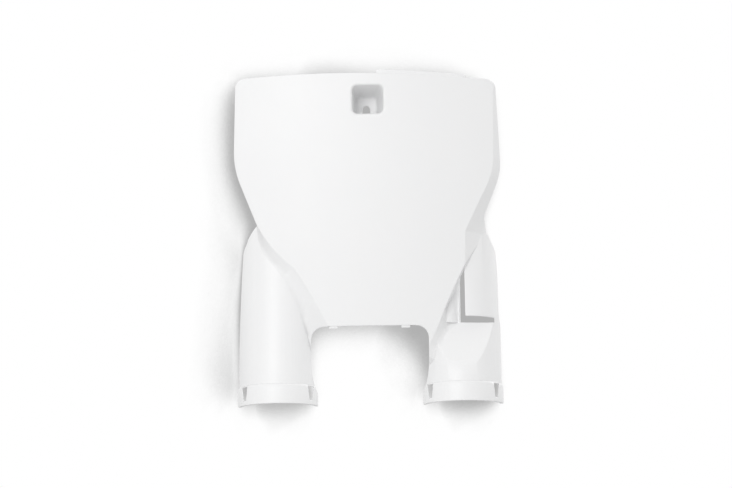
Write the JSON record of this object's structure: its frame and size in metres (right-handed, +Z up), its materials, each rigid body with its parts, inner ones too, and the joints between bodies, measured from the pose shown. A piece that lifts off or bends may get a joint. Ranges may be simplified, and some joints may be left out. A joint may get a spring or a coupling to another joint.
{
  "type": "racing number board",
  "caption": "Bowed racing number board with a screw pocket near its top, half-pipe fork legs with strap slots at their feet and a hose guide on the right leg.",
  "frame": {"origin": "middle of the screw slot, on the back of the pocket floor, in the plane midway between the fork tubes", "axes": "+X across the bike to the viewer's right as the board is seen from the front, +Y back towards the rider, +Z up along the fork tubes; the face leans forward at its top by 10.5 degrees"},
  "size_m": [0.2742, 0.0899, 0.3354],
  "materials": {
    "white_plastic": "satin"
  },
  "bodies": {
    "root": {"number_board": "white_plastic"}
  },
  "joints": []
}
